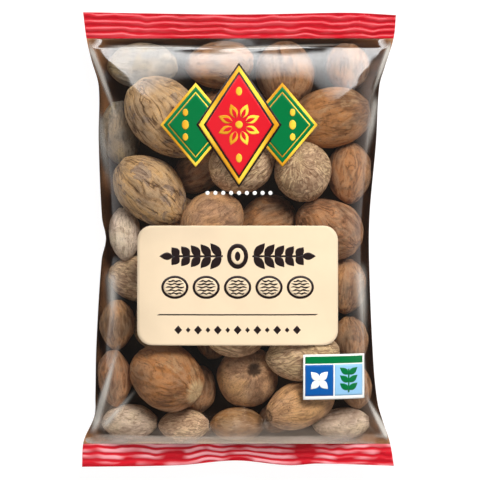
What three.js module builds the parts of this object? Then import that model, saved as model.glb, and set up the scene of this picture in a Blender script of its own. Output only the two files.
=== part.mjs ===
// A clear pillow pack filled with whole nutmegs, lying on its back.
//
// Millimetres, +Z up. X runs across the pack and Y along it, from the bottom seal to
// the top seal. The origin is on the surface that the pack lies on, under its middle.
// Film and contents together are one closed solid, bounded by the film.

import * as THREE from "three";

// Side edges of the film, as [y, x]: wide at the flat seals, narrow at the filled belly.
const LEFT_EDGE = [
  [-68.2, -47.1], [-60.5, -46.6], [-53, -43.4], [-47, -43.1], [-32, -42.8], [-6, -41.2],
  [0.2, -39.9], [6.5, -41.1], [30, -42.1], [46, -42.1], [54, -44.3], [60.5, -45.8], [68.2, -46.8],
];
const RIGHT_EDGE = [
  [-68.2, 46.5], [-61, 45.3], [-54, 43], [-49, 41.6], [-38, 40.4], [-12, 39.2],
  [6, 39.1], [29, 41.1], [46, 42.1], [52, 43.8], [60.5, 46.4], [68.2, 47.1],
];

// Cut ends of the film, as [x, y]: slightly wavy, and drawn in where the back seam crosses.
const BOTTOM_END = [[-47.1, -68.2], [-18, -67.7], [-1, -66.3], [15, -67.7], [24, -67.2], [46.5, -67.9]];
const TOP_END = [[-46.8, 68.2], [0, 67.5], [33, 68], [47.1, 67.3]];

// Crimped end seals.
const BOTTOM_SEAL_INNER = -61.3; // y where the belly starts
const TOP_SEAL_INNER = 60.3; // y where the belly ends
const SEAL_HEIGHT = 13.5; // seals stand this far above the surface
const FILM_PAIR = 0.9; // thickness of the sealed edge
const CRIMP_PITCH = 2;
const CRIMP_RISE = 0.3; // ridges rise and fall this far about the seal's plane

// Belly.
const FRONT_RISE = 19; // above the seals
const BACK_DROP = 18; // below the seals, before the surface flattens it
const CREASE_AT = 3; // distance of the front crease from each seal
const CREASE_SHARE = 0.55; // share of the front rise that is reached at the crease
const FRONT_SHOULDER = 19; // run from the crease to the full rise
const BACK_SHOULDER = 12;
const SHOULDER_POWER = 2.3;
const EAR_FADE = 5; // the flat corner ears die away over this length
const BASE_BLEND = 2; // softness of the edge round the flat base

// Low swells of the front film over the nutmegs that press on it, as [x, y].
const SWELLS = [
  [-24.9, 37], [-28.2, 15.8], [27.3, 37.4], [-22.2, -42.2], [1.2, -43.7], [20.7, -51],
  [-9.3, 9.8], [15.3, 48], [20.1, 20.3], [18.3, -37.7], [-30, -18], [28, -12],
];
const SWELL_RISE = 0.9;
const SWELL_REACH = 8;

// Fineness of the faceted surface.
const COLUMNS = 28; // faces across the front, and again across the back
const BELLY_ROWS = 30;
const ROW_CROWDING = 0.72; // how far the rows crowd towards the seals, from 0 to 1

// Value at t of a smooth curve through points [t, value], in rising order of t.
function along(points, t) {
  let i = 0;
  while (i < points.length - 2 && t > points[i + 1][0]) i += 1;
  const slope = (a, b) => (points[b][1] - points[a][1]) / (points[b][0] - points[a][0]);
  const span = points[i + 1][0] - points[i][0];
  const startSlope = slope(Math.max(i - 1, 0), i + 1) * span;
  const endSlope = slope(i, Math.min(i + 2, points.length - 1)) * span;
  const u = THREE.MathUtils.clamp((t - points[i][0]) / span, 0, 1);
  const rise = u * u * (3 - 2 * u);
  return (
    points[i][1] * (1 - rise) +
    points[i + 1][1] * rise +
    startSlope * u * (1 - u) * (1 - u) -
    endSlope * u * u * (1 - u)
  );
}

// Share of the full height that one end of the belly reaches at a distance from its seal.
function shoulder(distance, run) {
  const t = THREE.MathUtils.clamp(distance / run, 0, 1);
  return 1 - (1 - t) ** SHOULDER_POWER;
}

// The front climbs steeply to the crease, and from there in a rounded shoulder.
function frontShoulder(distance) {
  if (distance < CREASE_AT) return CREASE_SHARE * (distance / CREASE_AT) ** 0.8;
  return CREASE_SHARE + (1 - CREASE_SHARE) * shoulder(distance - CREASE_AT, FRONT_SHOULDER);
}

// Height share across the pack at s, from -1 at the left edge to 1 at the right edge.
// The belly is elliptical, and next to a seal it is a plateau between thin flat ears.
function section(s, sealDistance) {
  const ear = Math.exp(-sealDistance / EAR_FADE);
  return (1 - Math.abs(s) ** (2.8 + 1.6 * ear)) ** (0.5 + 1.1 * ear);
}

function swell(x, y) {
  let height = 0;
  for (const [centreX, centreY] of SWELLS) {
    const distance = Math.hypot(x - centreX, y - centreY) / SWELL_REACH;
    height += SWELL_RISE * Math.exp(-distance * distance);
  }
  return height;
}

// The surface below holds the back up: a height becomes 0 or more, with a soft bend.
function restOnSurface(height) {
  if (height >= BASE_BLEND) return height;
  if (height <= -BASE_BLEND) return 0;
  return (height + BASE_BLEND) ** 2 / (4 * BASE_BLEND);
}

// Front and back points of the film at s in the row at y.
function filmPoints(s, y) {
  const left = along(LEFT_EDGE, y);
  const right = along(RIGHT_EDGE, y);
  const x = (left + right) / 2 + (s * (right - left)) / 2;
  const edge = (FILM_PAIR / 2) * Math.sqrt(Math.max(0, 1 - s ** 8));

  if (y < BOTTOM_SEAL_INNER || y > TOP_SEAL_INNER) {
    const end = y < 0 ? along(BOTTOM_END, x) : along(TOP_END, x);
    const inner = y < 0 ? BOTTOM_SEAL_INNER : TOP_SEAL_INNER;
    const outer = y < 0 ? BOTTOM_END[0][1] : TOP_END[0][1];
    const endY = inner + ((y - inner) * (end - inner)) / (outer - inner);
    const halfPitches = Math.round(Math.abs(y - inner) / (CRIMP_PITCH / 2));
    const middle = SEAL_HEIGHT + (halfPitches % 2 ? CRIMP_RISE : -CRIMP_RISE) * edge * (2 / FILM_PAIR);
    return [new THREE.Vector3(x, endY, middle + edge), new THREE.Vector3(x, endY, middle - edge)];
  }

  const fromBottom = y - BOTTOM_SEAL_INNER;
  const fromTop = TOP_SEAL_INNER - y;
  const share = section(s, Math.min(fromBottom, fromTop));
  const frontShare = share * frontShoulder(fromBottom) * frontShoulder(fromTop);
  const backShare = share * shoulder(fromBottom, BACK_SHOULDER) * shoulder(fromTop, BACK_SHOULDER);
  const front = SEAL_HEIGHT + edge + FRONT_RISE * frontShare + swell(x, y) * frontShare;
  const back = restOnSurface(SEAL_HEIGHT - edge - BACK_DROP * backShare);
  return [new THREE.Vector3(x, y, front), new THREE.Vector3(x, y, back)];
}

// Rows of the film from the bottom end to the top end, each at its y.
function rowPositions() {
  const rows = [];
  const crimpRow = CRIMP_PITCH / 2;
  for (let y = BOTTOM_SEAL_INNER - crimpRow; y > BOTTOM_END[0][1] + crimpRow / 2; y -= crimpRow) rows.unshift(y);
  rows.unshift(BOTTOM_END[0][1]);
  rows.push(BOTTOM_SEAL_INNER, BOTTOM_SEAL_INNER + CREASE_AT / 3);
  const lowest = BOTTOM_SEAL_INNER + CREASE_AT;
  const span = TOP_SEAL_INNER - CREASE_AT - lowest;
  for (let k = 0; k <= BELLY_ROWS; k += 1) {
    const t = k / BELLY_ROWS;
    rows.push(lowest + span * (t - (ROW_CROWDING * Math.sin(2 * Math.PI * t)) / (2 * Math.PI)));
  }
  rows.push(TOP_SEAL_INNER - CREASE_AT / 3, TOP_SEAL_INNER);
  for (let y = TOP_SEAL_INNER + crimpRow; y < TOP_END[0][1] - crimpRow / 2; y += crimpRow) rows.push(y);
  rows.push(TOP_END[0][1]);
  return rows;
}

// Closed surface: a ring of film points for each row, joined row to row, with both cut
// ends closed between front and back. A ring runs left to right over the front, and
// back along the underside.
function pillowGeometry() {
  const rows = rowPositions();
  const ringSize = 2 * COLUMNS;
  const positions = [];
  for (const y of rows) {
    const fronts = [];
    const backs = [];
    for (let column = 0; column <= COLUMNS; column += 1) {
      const [front, back] = filmPoints(-Math.cos((Math.PI * column) / COLUMNS), y);
      fronts.push(front);
      if (column > 0 && column < COLUMNS) backs.unshift(back);
    }
    for (const point of [...fronts, ...backs]) positions.push(point.x, point.y, point.z);
  }

  const faces = [];
  const quad = (a, b, c, d) => faces.push(a, b, c, a, c, d);
  for (let row = 0; row < rows.length - 1; row += 1) {
    for (let i = 0; i < ringSize; i += 1) {
      const next = (i + 1) % ringSize;
      const lower = row * ringSize;
      const upper = lower + ringSize;
      quad(lower + i, lower + next, upper + next, upper + i);
    }
  }
  const closeEnd = (start, flip) => {
    for (let column = 0; column < COLUMNS; column += 1) {
      const front = [start + column, start + column + 1];
      const back = [start + ((ringSize - column) % ringSize), start + ((ringSize - column - 1) % ringSize)];
      const corners = [back[0], back[1], front[1], front[0]].filter((v, k, all) => all.indexOf(v) === k);
      if (flip) corners.reverse();
      faces.push(corners[0], corners[1], corners[2]);
      if (corners.length === 4) faces.push(corners[0], corners[2], corners[3]);
    }
  };
  closeEnd(0, false);
  closeEnd((rows.length - 1) * ringSize, true);

  const geometry = new THREE.BufferGeometry();
  geometry.setAttribute("position", new THREE.Float32BufferAttribute(positions, 3));
  geometry.setIndex(faces);
  geometry.computeVertexNormals();
  return geometry;
}

const bag = new THREE.Mesh(
  pillowGeometry(),
  new THREE.MeshStandardMaterial({ color: 0x8a6a4a, roughness: 0.25, metalness: 0 }),
);
bag.name = "bag";

const pack = new THREE.Group();
pack.add(bag);

export default pack;
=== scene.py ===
import itertools
import math

import bpy
import numpy as np
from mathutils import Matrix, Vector


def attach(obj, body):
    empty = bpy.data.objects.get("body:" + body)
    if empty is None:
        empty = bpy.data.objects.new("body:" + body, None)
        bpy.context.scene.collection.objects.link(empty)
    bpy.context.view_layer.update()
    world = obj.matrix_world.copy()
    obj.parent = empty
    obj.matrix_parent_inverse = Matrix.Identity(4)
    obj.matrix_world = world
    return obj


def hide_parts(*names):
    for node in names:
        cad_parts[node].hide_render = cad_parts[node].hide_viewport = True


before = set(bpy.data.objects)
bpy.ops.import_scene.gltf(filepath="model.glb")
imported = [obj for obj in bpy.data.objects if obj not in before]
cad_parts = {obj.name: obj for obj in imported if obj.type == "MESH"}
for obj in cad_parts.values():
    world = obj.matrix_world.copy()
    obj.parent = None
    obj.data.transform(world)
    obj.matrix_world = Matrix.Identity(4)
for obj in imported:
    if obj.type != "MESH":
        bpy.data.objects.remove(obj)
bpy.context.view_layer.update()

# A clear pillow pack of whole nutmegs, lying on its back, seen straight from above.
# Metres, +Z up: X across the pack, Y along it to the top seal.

MM = 0.001

# ---- the pack's shape

# Side edges of the film as (y, x), and cut ends as (x, y), in millimetres.
LEFT_EDGE = MM * np.array([
    (-68.2, -47.1), (-60.5, -46.6), (-53, -43.4), (-47, -43.1), (-32, -42.8), (-6, -41.2),
    (0.2, -39.9), (6.5, -41.1), (30, -42.1), (46, -42.1), (54, -44.3), (60.5, -45.8), (68.2, -46.8),
])
RIGHT_EDGE = MM * np.array([
    (-68.2, 46.5), (-61, 45.3), (-54, 43), (-49, 41.6), (-38, 40.4), (-12, 39.2),
    (6, 39.1), (29, 41.1), (46, 42.1), (52, 43.8), (60.5, 46.4), (68.2, 47.1),
])
BOTTOM_END = MM * np.array([
    (-47.1, -68.2), (-18, -67.7), (-1, -66.3), (15, -67.7), (24, -67.2), (46.5, -67.9),
])
TOP_END = MM * np.array([(-46.8, 68.2), (0, 67.5), (33, 68), (47.1, 67.3)])

BOTTOM_SEAL_INNER = -0.0613
TOP_SEAL_INNER = 0.0603
SEAL_HEIGHT = 0.0135
FRONT_RISE = 0.019
BACK_DROP = 0.018
CREASE_AT = 0.003
CREASE_SHARE = 0.55
FRONT_SHOULDER = 0.019
BACK_SHOULDER = 0.012
SHOULDER_POWER = 2.3
EAR_FADE = 0.005
BASE_BLEND = 0.002
SEAM_ROOM = 0.0006  # the flat of the back is this far up, on the lengthwise seam
SWELLS = MM * np.array([
    (-24.9, 37), (-28.2, 15.8), (27.3, 37.4), (-22.2, -42.2), (1.2, -43.7), (20.7, -51),
    (-9.3, 9.8), (15.3, 48), (20.1, 20.3), (18.3, -37.7), (-30, -18), (28, -12),
])
SWELL_RISE = 0.0009
SWELL_REACH = 0.008
SIDE_BULGE = 0.04  # how far nutmegs press the walls of the back out, as shares of s and y
END_BULGE = 0.025
BULGE_LUMP = 0.006
ROW_CROWDING = 0.6  # how far the rows of a grid crowd towards the seals, from 0 to 1


def along(points, t):
    """Smooth curve through points (t, value), at every t of an array."""
    t = np.asarray(t, float)
    at, value = points[:, 0], points[:, 1]
    last = len(at) - 1
    i = np.clip(np.searchsorted(at, t, side="right") - 1, 0, last - 1)

    def slope(a, b):
        return (value[b] - value[a]) / (at[b] - at[a])

    span = at[i + 1] - at[i]
    start = slope(np.maximum(i - 1, 0), i + 1) * span
    end = slope(i, np.minimum(i + 2, last)) * span
    u = np.clip((t - at[i]) / span, 0, 1)
    rise = u * u * (3 - 2 * u)
    return value[i] * (1 - rise) + value[i + 1] * rise + start * u * (1 - u) ** 2 - end * u * u * (1 - u)


def shoulder(distance, run):
    t = np.clip(distance / run, 0, 1)
    return 1 - (1 - t) ** SHOULDER_POWER


def front_shoulder(distance):
    near = CREASE_SHARE * (np.maximum(distance, 0) / CREASE_AT) ** 0.8
    far = CREASE_SHARE + (1 - CREASE_SHARE) * shoulder(distance - CREASE_AT, FRONT_SHOULDER)
    return np.where(distance < CREASE_AT, near, far)


def section(s, seal_distance):
    """Height share across the pack: elliptical at the belly, thin ears next to a seal."""
    ear = np.exp(-np.maximum(seal_distance, 0) / EAR_FADE)
    return np.maximum(1 - np.abs(s) ** (2.8 + 1.6 * ear), 0) ** (0.5 + 1.1 * ear)


def bell(distance, reach):
    """1 at distance 0, 0.37 at the reach and 0.02 at twice the reach."""
    return np.exp(-(distance / reach) ** 2)


def swell(x, y):
    height = np.zeros(np.broadcast(x, y).shape)
    for centre_x, centre_y in SWELLS:
        height += SWELL_RISE * bell(np.hypot(x - centre_x, y - centre_y), SWELL_REACH)
    return height


def rest_on_surface(height):
    bend = (height + BASE_BLEND) ** 2 / (4 * BASE_BLEND)
    return np.where(height >= BASE_BLEND, height, np.where(height <= -BASE_BLEND, 0, bend))


def width_to_x(s, y):
    left, right = along(LEFT_EDGE, y), along(RIGHT_EDGE, y)
    return (left + right) / 2 + s * (right - left) / 2


def x_to_width(x, y):
    left, right = along(LEFT_EDGE, y), along(RIGHT_EDGE, y)
    return np.clip((2 * x - left - right) / (right - left), -1, 1)


def film_grid(rows, columns):
    """Width s and y of a grid that crowds towards the edges and the seals."""
    s = -np.cos(np.linspace(0, math.pi, columns))
    t = np.linspace(0, 1, rows)
    crowded = t - ROW_CROWDING * np.sin(2 * math.pi * t) / (2 * math.pi)
    return np.meshgrid(s, BOTTOM_SEAL_INNER + (TOP_SEAL_INNER - BOTTOM_SEAL_INNER) * crowded)


def shares(s, y):
    """Shares of the front rise and of the back drop at width s of the row at y."""
    from_bottom, from_top = y - BOTTOM_SEAL_INNER, TOP_SEAL_INNER - y
    across = section(s, np.minimum(from_bottom, from_top))
    front = across * front_shoulder(from_bottom) * front_shoulder(from_top)
    back = across * shoulder(from_bottom, BACK_SHOULDER) * shoulder(from_top, BACK_SHOULDER)
    return front, back


def front_height(x, y):
    """Height of the film's outer face on the front."""
    s = x_to_width(x, y)
    front, _ = shares(s, y)
    return SEAL_HEIGHT + FRONT_RISE * front + (swell(x, y) + slack(x, y) + folds(x, y)) * np.sqrt(front)


def bulge(x, y, seed, from_rim, reach):
    """Share to which a wall of the back is pressed out in places, fading towards its rim."""
    lumps = np.clip(0.5 + 2 * plane_noise(x, y, BULGE_LUMP, seed), 0, 1)
    return lumps * (1 - bell(from_rim, reach))


def back_height(x, y):
    """Height of the film's outer face on the underside."""
    s = x_to_width(x, y)
    from_seal = np.minimum(y - BOTTOM_SEAL_INNER, TOP_SEAL_INNER - y)
    at_sides = 1 - SIDE_BULGE * bulge(0.3 * x, y, 21, 1 - np.abs(s), 0.02)
    at_ends = 1 - END_BULGE * bulge(x, 0.3 * y, 22, from_seal, 0.002)
    _, back = shares(s * at_sides, y * at_ends)
    return SEAM_ROOM + rest_on_surface(SEAL_HEIGHT - BACK_DROP * back - SEAM_ROOM)


# ---- noise

def lattice(ix, iy, iz, seed):
    """A fixed random value from 0 to 1 at each whole-number point."""
    with np.errstate(over="ignore"):
        h = ix.astype(np.uint32) * np.uint32(0x9E3779B1)
        h ^= iy.astype(np.uint32) * np.uint32(0x85EBCA77)
        h ^= iz.astype(np.uint32) * np.uint32(0xC2B2AE3D)
        h ^= np.uint32((seed * 2654435761) % 2 ** 32)
        h ^= h >> np.uint32(15)
        h *= np.uint32(0x2C1B3C6D)
        h ^= h >> np.uint32(12)
        h *= np.uint32(0x297A2D39)
        h ^= h >> np.uint32(15)
    return h / 2 ** 32


def noise(points, seed):
    """Smooth noise from 0 to 1 at points of shape (n, 3), one lump to a unit."""
    whole = np.floor(points)
    part = points - whole
    part = part * part * (3 - 2 * part)
    cell = whole.astype(np.int64)
    total = np.zeros(len(points))
    for corner in itertools.product((0, 1), repeat=3):
        weight = np.where(corner, part, 1 - part)
        value = lattice(*(cell + corner).T, seed)
        total += weight[:, 0] * weight[:, 1] * weight[:, 2] * value
    return total


def layered_noise(points, seed):
    """Noise from 0 to 1, with noise of half its size and strength over it."""
    return (noise(points, seed) + noise(2 * points, seed + 1) / 2) / 1.5


def plane_noise(x, y, lump, seed):
    """Noise from -1 to 1 over the pack, with lumps of a given size."""
    x, y = np.broadcast_arrays(x, y)
    points = np.column_stack([x.ravel() / lump, y.ravel() / lump, np.full(x.size, 0.5)])
    return (2 * layered_noise(points, seed) - 1).reshape(x.shape)


# Folds of the front film, in millimetres: from x, y to x, y, half width and height.
FOLDS = [
    (-45.6, 60.3, -34.8, 32.8, 0.8, 0.45),
    (-43.0, 40.0, -37.5, 12.0, 1.6, 0.30),
    (46.2, 60.3, 38.6, 40.2, 0.8, 0.45),
    (41.5, 44.0, 37.0, 22.0, 1.3, 0.30),
    (-44.2, -59.0, -34.4, -27.5, 1.0, 0.50),
    (-41.5, -57.0, -29.5, -43.4, 0.9, 0.36),
    (-38.0, -8.0, -37.0, -30.0, 1.6, 0.30),
    (45.3, -60.6, 37.0, -45.0, 0.8, 0.50),
    (36.0, -6.0, 37.5, -34.0, 1.5, 0.30),
    (-42.5, 57.6, 2.0, 56.6, 0.5, 0.28),
    (-8.0, 56.2, 43.5, 58.6, 0.5, 0.28),
    (-44.0, -58.6, 8.0, -58.9, 0.5, 0.22),
]


FOLD_START = 1.35  # width of a fold at its start, as a share of the width given
FOLD_NARROWING = 0.7  # how much of that share it loses on the way
SLACK_RISE, SLACK_LUMP = 0.0006, 0.015  # broad unevenness of the front film
CRINKLE_RISE, CRINKLE_LUMP = 0.00012, 0.0045  # and fine unevenness
WHITENED_SHEEN_FOLD = 0.0004  # a fold this high is whitened most, with its painted highlight
HEM_SHEEN_REACH = 0.0022  # reach of the whitened patches above the bottom seal, partly a painted highlight


def folds(x, y):
    """Height of the raised folds, each fading and narrowing towards its far end."""
    height = np.zeros(np.broadcast(x, y).shape)
    for x0, y0, x1, y1, half_width, rise in FOLDS:
        start, run = MM * np.array([x0, y0]), MM * np.array([x1 - x0, y1 - y0])
        t = ((x - start[0]) * run[0] + (y - start[1]) * run[1]) / (run @ run)
        off_x, off_y = x - start[0] - t * run[0], y - start[1] - t * run[1]
        width_here = half_width * MM * (FOLD_START - FOLD_NARROWING * np.clip(t, 0, 1))
        fade = np.clip(6 * t, 0, 1) * np.clip(1.8 * (1 - t), 0, 1)
        height += rise * MM * fade * bell(np.hypot(off_x, off_y), width_here)
    return height


def slack(x, y):
    """Soft unevenness of the front film."""
    broad = SLACK_RISE * plane_noise(x, y * 0.6, SLACK_LUMP, 11)
    fine = CRINKLE_RISE * plane_noise(x, y * 0.5, CRINKLE_LUMP, 12)
    return broad + fine


def whitening_and_painted_sheen(x, y):
    """Share to which the front film is whitened on its folds and next to the bottom seal: partly whitening of
    the film, partly a painted highlight.
    """
    on_folds = 0.6 * np.clip(folds(x, y) / WHITENED_SHEEN_FOLD, 0, 1) ** 2
    patches = 0.25 + 1.2 * plane_noise(0.7 * x, 2 * y, 0.005, 24)
    by_seal = bell(y - BOTTOM_SEAL_INNER, HEM_SHEEN_REACH) * np.clip(patches, 0, 1)
    return np.clip(on_folds + by_seal, 0, 0.7)


# ---- meshes and pieces

def add_object(name, data):
    made = bpy.data.objects.new(name, data)
    bpy.context.collection.objects.link(made)
    return made


def make_piece(name, points, faces, material):
    mesh = bpy.data.meshes.new(name)
    mesh.from_pydata(np.asarray(points).tolist(), [], faces)
    mesh.validate()
    mesh.update()
    mesh.polygons.foreach_set("use_smooth", [True] * len(mesh.polygons))
    piece = add_object(name, mesh)
    piece.data.materials.append(material)
    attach(piece, "root")
    return piece


def sheet_faces(rows, columns):
    """Faces of a closed thin sheet: an outer grid, an inner grid below it, and its rim."""
    def outer(r, c):
        return r * columns + c

    def inner(r, c):
        return rows * columns + r * columns + c

    faces = []
    for r in range(rows - 1):
        for c in range(columns - 1):
            faces.append((outer(r, c), outer(r, c + 1), outer(r + 1, c + 1), outer(r + 1, c)))
            faces.append((inner(r, c), inner(r + 1, c), inner(r + 1, c + 1), inner(r, c + 1)))
    border = [(0, c) for c in range(columns - 1)]
    border += [(r, columns - 1) for r in range(rows - 1)]
    border += [(rows - 1, c) for c in range(columns - 1, 0, -1)]
    border += [(r, 0) for r in range(rows - 1, 0, -1)]
    for (r, c), (r2, c2) in zip(border, border[1:] + border[:1]):
        faces.append((outer(r2, c2), outer(r, c), inner(r, c), inner(r2, c2)))
    return faces


def sheet(name, outer, inner, material):
    rows, columns, _ = outer.shape
    points = np.concatenate([outer.reshape(-1, 3), inner.reshape(-1, 3)])
    return make_piece(name, points, sheet_faces(rows, columns), material)


def store(piece, name, values, kind="FLOAT", field="value"):
    """Give each point of a piece a value that its material reads."""
    attribute = piece.data.attributes.new(name, kind, "POINT")
    attribute.data.foreach_set(field, values.ravel())


def give_values(piece, name, grid):
    """Store one value for each point of a sheet, the same on both of its faces."""
    store(piece, name, np.tile(grid.ravel(), 2))


# ---- materials

def linear(red, green, blue):
    """A screen colour from 0 to 255 as the linear colour that a shader takes."""
    def one(value):
        value /= 255
        return value / 12.92 if value <= 0.04045 else ((value + 0.055) / 1.055) ** 2.4

    return (one(red), one(green), one(blue), 1.0)


def new_material(name):
    material = bpy.data.materials.new(name)
    material.use_nodes = True
    material.node_tree.nodes.clear()
    return material, material.node_tree


def node(tree, kind, inputs=None, **settings):
    made = tree.nodes.new("ShaderNode" + kind)
    for key, value in settings.items():
        setattr(made, key, value)
    for key, value in (inputs or {}).items():
        if isinstance(value, bpy.types.NodeSocket):
            tree.links.new(value, made.inputs[key])
        else:
            made.inputs[key].default_value = value
    return made


def blend_colours(tree, factor, first, second, how="MIX"):
    mixed = node(tree, "Mix", {0: factor, 6: first, 7: second}, data_type="RGBA", blend_type=how)
    return mixed.outputs[2]


def sums(tree, how, first, second=0.5):
    return node(tree, "Math", {0: first, 1: second}, operation=how).outputs[0]


def product(tree, first, *others):
    for other in others:
        first = sums(tree, "MULTIPLY", first, other)
    return first


def remap(tree, value, low, high, first=0.0, last=1.0, how="LINEAR"):
    """The value moved from the range low to high to the range first to last."""
    inputs = {0: value, 1: low, 2: high, 3: first, 4: last}
    return node(tree, "MapRange", inputs, interpolation_type=how).outputs[0]


def ramp(tree, value, low, high):
    """A smooth step from 0 at low to 1 at high."""
    return remap(tree, value, low, high, how="SMOOTHSTEP")


def clouds(tree, vector, scale, detail=2.0, rough=0.5, bend=0.0):
    inputs = {"Vector": vector, "Scale": scale, "Detail": detail, "Roughness": rough, "Distortion": bend}
    return node(tree, "TexNoise", inputs).outputs["Fac"]


def place_of(tree):
    return node(tree, "TexCoord").outputs["Object"]


def stored(tree, name, output="Fac"):
    """What store gave to the piece under this name."""
    return node(tree, "Attribute", attribute_name=name).outputs[output]


def darker(colour, share):
    return tuple(channel * share for channel in colour[:3]) + (1.0,)


def mix_shaders(tree, share, first, second):
    return node(tree, "MixShader", {0: share, 1: first.outputs[0], 2: second.outputs[0]})


def surface(tree, shader):
    node(tree, "OutputMaterial", {"Surface": shader.outputs[0]})


def principled(tree, inputs):
    surface(tree, node(tree, "BsdfPrincipled", inputs))


WHITE = (1, 1, 1, 1)
INK_ROUGHNESS = 0.35
SCUFF = 0.12  # how far the roughness of printed film varies


def clear_film_material():
    """Clear film: it mirrors more at a slant, and is white where it is creased and above the bottom seal,
    partly hazy whitening and partly a painted highlight.
    """
    material, tree = new_material("clear_film")
    facing = node(tree, "LayerWeight", {"Blend": 0.5}).outputs["Facing"]
    mirror = remap(tree, sums(tree, "POWER", facing, 5.0), 0.0, 1.0, 0.1, 0.9)
    through = node(tree, "BsdfTransparent", {"Color": (0.985, 0.985, 0.985, 1)})
    haze_and_sheen = node(tree, "BsdfDiffuse", {"Color": (0.80, 0.76, 0.70, 1)})
    body = mix_shaders(tree, sums(tree, "ADD", stored(tree, "white_and_painted_sheen"), 0.003), through, haze_and_sheen)
    gloss = node(tree, "BsdfGlossy", {"Color": WHITE, "Roughness": 0.09})
    surface(tree, mix_shaders(tree, mirror, body, gloss))
    return material


def print_material(name, colour):
    """Ink on film: near even, with faint mottling."""
    material, tree = new_material(name)
    mottle = clouds(tree, place_of(tree), 260.0, 3.0)
    ink = blend_colours(tree, mottle, colour, darker(colour, 0.94))
    principled(tree, {"Base Color": ink, "Roughness": INK_ROUGHNESS})
    return material


def gold_material():
    """Gold ink that runs from a light to a darker yellow across the pack."""
    material, tree = new_material("gold_print")
    across = node(tree, "SeparateXYZ", {0: place_of(tree)}).outputs[0]
    wave = sums(tree, "SINE", sums(tree, "MULTIPLY", across, 420.0))
    ink = blend_colours(tree, ramp(tree, wave, -0.9, 0.9), linear(214, 150, 28), linear(255, 214, 70))
    principled(tree, {"Base Color": ink, "Roughness": INK_ROUGHNESS})
    return material


def printed_film_material(name, colour, pale, roughness):
    """Opaque printed film with a gloss that varies softly, and paler in places: a painted highlight on the
    seals' ridges, and painted light on the back's margins.
    """
    material, tree = new_material(name)
    place = place_of(tree)
    cloud, fine = clouds(tree, place, 90.0, 4.0), clouds(tree, place, 700.0, 2.0)
    print_colour = blend_colours(tree, cloud, colour, darker(colour, 0.86))
    principled(tree, {
        "Base Color": blend_colours(tree, stored(tree, "pale"), print_colour, pale),
        "Roughness": remap(tree, cloud, 0.0, 1.0, roughness - SCUFF / 2, roughness + SCUFF / 2),
        "Normal": node(tree, "Bump", {"Height": fine, "Strength": 0.15, "Distance": 0.0002}).outputs[0],
        "Coat Weight": 0.6,
        "Coat Roughness": 0.12,
    })
    return material


# Looks of each kind of nutmeg: its tint, the colours of its grooves and its patches, and
# how strong these are: patches, dark lines, close ridges, short dashes, specks, pale
# streaks. The last number is how many contour lines its waves are cut into.
NUTMEG_LOOKS = {
    "lined": ((198, 160, 122), (88, 58, 38), (126, 114, 114), 0.8, 0.8, 0.0, 0.3, 0.5, 0.6, 4.2),
    "golden": ((164, 118, 76), (80, 48, 26), (192, 156, 116), 0.6, 0.4, 0.0, 0.7, 0.8, 0.25, 3.0),
    "smooth": ((200, 156, 119), (92, 60, 40), (164, 124, 96), 0.5, 0.22, 0.0, 0.6, 0.8, 0.2, 2.6),
    "ridged": ((248, 210, 170), (142, 103, 74), (196, 156, 122), 0.4, 0.1, 0.6, 0.1, 0.3, 0.2, 5.4),
    # The dull kind's darker tint is partly painted shade, for nutmegs deep in the heap.
    "dull": ((164, 122, 90), (78, 50, 32), (118, 96, 82), 0.5, 0.5, 0.0, 0.3, 0.5, 0.3, 3.4),
    "cream": ((236, 214, 190), (132, 100, 78), (168, 136, 112), 0.5, 0.45, 0.1, 0.2, 0.6, 0.3, 4.0),
    "grey": ((138, 130, 118), (64, 54, 44), (164, 142, 102), 0.8, 0.35, 0.0, 0.3, 0.4, 0.1, 3.0),
}


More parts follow.
